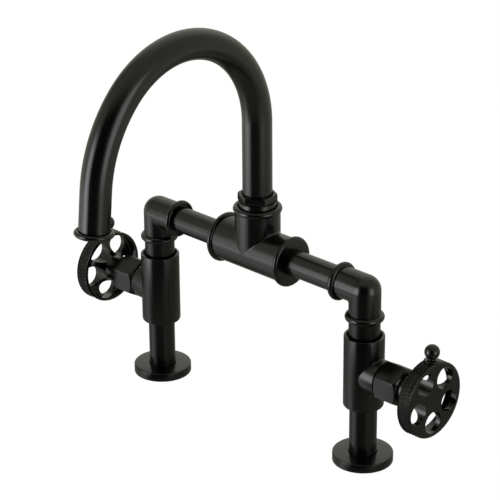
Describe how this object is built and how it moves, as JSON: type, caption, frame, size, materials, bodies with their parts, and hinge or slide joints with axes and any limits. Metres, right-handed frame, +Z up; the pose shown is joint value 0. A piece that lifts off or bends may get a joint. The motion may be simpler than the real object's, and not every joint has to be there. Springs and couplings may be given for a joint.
{
  "type": "bridge faucet",
  "caption": "Bridge bathroom faucet in satin black with an arched swivel spout, pipe fittings and wheel-shaped cross handles with ball knobs.",
  "frame": {"origin": "on the deck plane, midway between the two inlet axes", "axes": "+X along the bridge to the right-hand handle, -Y towards the user and the spout's outlet, +Z up along the spout's swivel axis"},
  "size_m": [0.3322, 0.1958, 0.3668],
  "materials": {
    "black_metal": "satin black finish on brass",
    "black_knurled": "satin black finish with a diamond-knurled rim",
    "raw_brass": "machined",
    "steel": "plain stainless steel",
    "black_rubber": "matte",
    "ceramic": "lapped white ceramic",
    "white_plastic": "low-friction plastic",
    "aerator_plastic": "moulded black plastic"
  },
  "bodies": {
    "frame": {"tee": "black_metal", "glide_washer": "white_plastic", "spout_nut": "black_metal", "left_deck_flange": "black_metal", "left_flange_gasket": "black_rubber", "left_supply_shank": "raw_brass", "left_mounting_washer": "black_rubber", "left_clamp_washer": "steel", "left_mounting_nut": "raw_brass", "left_leg": "black_metal", "left_valve_body": "black_metal", "left_seat_seal": "black_rubber", "left_fixed_disc": "ceramic", "left_cartridge_body": "raw_brass", "left_cartridge_bonnet": "black_metal", "left_nipple_washer": "black_rubber", "left_outlet_nipple": "black_metal", "left_elbow": "black_metal", "left_bridge_tube": "black_metal", "left_bridge_seal": "black_rubber", "right_deck_flange": "black_metal", "right_flange_gasket": "black_rubber", "right_supply_shank": "raw_brass", "right_mounting_washer": "black_rubber", "right_clamp_washer": "steel", "right_mounting_nut": "raw_brass", "right_leg": "black_metal", "right_valve_body": "black_metal", "right_seat_seal": "black_rubber", "right_fixed_disc": "ceramic", "right_cartridge_body": "raw_brass", "right_cartridge_bonnet": "black_metal", "right_nipple_washer": "black_rubber", "right_outlet_nipple": "black_metal", "right_elbow": "black_metal", "right_bridge_tube": "black_metal", "right_bridge_seal": "black_rubber"},
    "spout": {"swivel_ring": "raw_brass", "spout_o_rings": "black_rubber", "spout_tube": "black_metal", "outlet_ring": "black_metal", "aerator_housing": "aerator_plastic", "aerator_screen": "aerator_plastic", "aerator_washer": "black_rubber"},
    "left_handle": {"left_moving_disc": "ceramic", "left_cartridge_stem": "raw_brass", "left_stem_o_ring": "black_rubber", "left_handle_hub": "black_metal", "left_set_screw": "steel", "left_handle_wheel": "black_knurled", "left_wheel_knob": "black_metal"},
    "right_handle": {"right_moving_disc": "ceramic", "right_cartridge_stem": "raw_brass", "right_stem_o_ring": "black_rubber", "right_handle_hub": "black_metal", "right_set_screw": "steel", "right_handle_wheel": "black_knurled", "right_wheel_knob": "black_metal"}
  },
  "joints": [
    {"name": "spout_swivel", "type": "hinge", "parent": "frame", "child": "spout", "pos_m": [0, 0, 0.15], "axis": [0, 0, 1], "continuous": true},
    {"name": "left_valve_turn", "type": "hinge", "parent": "frame", "child": "left_handle", "pos_m": [-0.1016, 0, 0.0694], "axis": [1, 0, 0], "range_deg": [0, 90]},
    {"name": "right_valve_turn", "type": "hinge", "parent": "frame", "child": "right_handle", "pos_m": [0.1016, 0, 0.0694], "axis": [1, 0, 0], "range_deg": [0, 90]}
  ]
}
